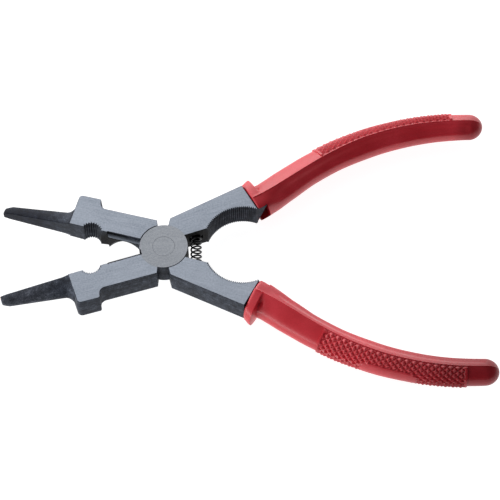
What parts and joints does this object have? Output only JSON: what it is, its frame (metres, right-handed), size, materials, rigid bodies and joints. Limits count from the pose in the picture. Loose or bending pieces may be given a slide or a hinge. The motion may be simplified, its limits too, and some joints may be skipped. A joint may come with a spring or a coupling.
{
  "type": "mig welding pliers",
  "caption": "Spring-loaded welding pliers with half-cone nozzle-cleaning jaws, tip notch, wire cutter, hammer blocks and toothed nozzle grip behind the pivot.",
  "frame": {"origin": "pivot axis at the back ground face of the joint", "axes": "+X along the centre line towards the handles, +Y towards the front lever's handle, +Z along the pivot axis towards the front face"},
  "size_m": [0.1875, 0.1182, 0.0138],
  "materials": {
    "lever_steel": "black oxide with ground front and back faces",
    "rivet_steel": "ground flush",
    "spring_wire": "black oxide",
    "grip_vinyl": "satin moulded vinyl"
  },
  "bodies": {
    "front_half": {"front_lever": "lever_steel", "front_grip": "grip_vinyl", "pivot_rivet": "rivet_steel", "return_spring": "spring_wire"},
    "back_half": {"back_lever": "lever_steel", "back_grip": "grip_vinyl"}
  },
  "joints": [
    {"name": "pivot_hinge", "type": "hinge", "parent": "front_half", "child": "back_half", "pos_m": [0, 0, 0.005], "axis": [0, 0, 1], "range_deg": [-22, 32.4], "stiffness_Nm_per_rad": 0.8, "deforming": ["return_spring"]}
  ]
}
